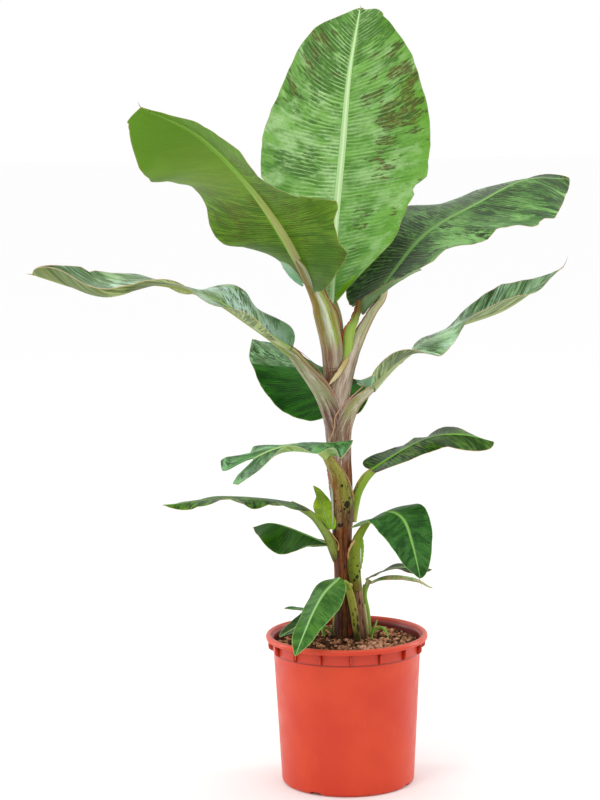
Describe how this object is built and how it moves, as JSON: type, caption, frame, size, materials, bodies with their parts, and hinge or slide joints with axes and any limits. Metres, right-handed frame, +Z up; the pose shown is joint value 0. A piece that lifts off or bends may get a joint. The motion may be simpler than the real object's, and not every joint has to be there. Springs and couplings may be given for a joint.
{
  "type": "potted banana plant",
  "caption": "Young banana plant in a round ribbed nursery pot, a slim false stem with long stalked, arching, boat-shaped leaves on every side.",
  "frame": {"origin": "centre of the flat underside of the pot, on the pot's axis", "axes": "+Z up along the pot's axis, -Y towards the side the plant is seen from, +X to the right of that view"},
  "size_m": [1.0337, 0.8859, 1.4809],
  "materials": {
    "pot_plastic": "terracotta coloured moulded plastic, half matt",
    "potting_mix": "moist crumbly potting mix",
    "stem_sheath": "brown-purple leaf sheaths with a grey bloom",
    "leaf_stalk": "waxy olive to brown leaf stalk",
    "leaf_blade": "satin leaf with parallel veins and brown-red blotches",
    "young_leaf": "fresh bright green young leaf"
  },
  "bodies": {
    "root": {"pot": "pot_plastic", "soil": "potting_mix", "stem_main": "stem_sheath", "stem_right": "stem_sheath", "stem_front": "stem_sheath", "stem_back": "stem_sheath", "stem_left": "stem_sheath", "petiole_1": "leaf_stalk", "petiole_2": "leaf_stalk", "petiole_3": "leaf_stalk", "petiole_4": "leaf_stalk", "petiole_5": "leaf_stalk", "petiole_6": "leaf_stalk", "petiole_7": "leaf_stalk", "petiole_8": "leaf_stalk", "petiole_9": "leaf_stalk", "petiole_10": "leaf_stalk", "petiole_12": "leaf_stalk", "petiole_13": "leaf_stalk", "petiole_14": "leaf_stalk", "leaf_1": "leaf_blade", "leaf_2": "leaf_blade", "leaf_3": "leaf_blade", "leaf_4": "leaf_blade", "leaf_5": "leaf_blade", "leaf_6": "leaf_blade", "leaf_7": "leaf_blade", "leaf_8": "leaf_blade", "leaf_9": "leaf_blade", "leaf_10": "leaf_blade", "leaf_12": "leaf_blade", "leaf_14": "leaf_blade", "leaf_13a": "leaf_blade", "leaf_13b": "leaf_blade", "leaf_15a": "leaf_blade", "leaf_15b": "leaf_blade", "bract_1": "young_leaf", "sprout_right_a": "young_leaf", "sprout_right_b": "young_leaf", "sprout_left_a": "young_leaf", "sprout_left_b": "young_leaf"}
  },
  "joints": []
}
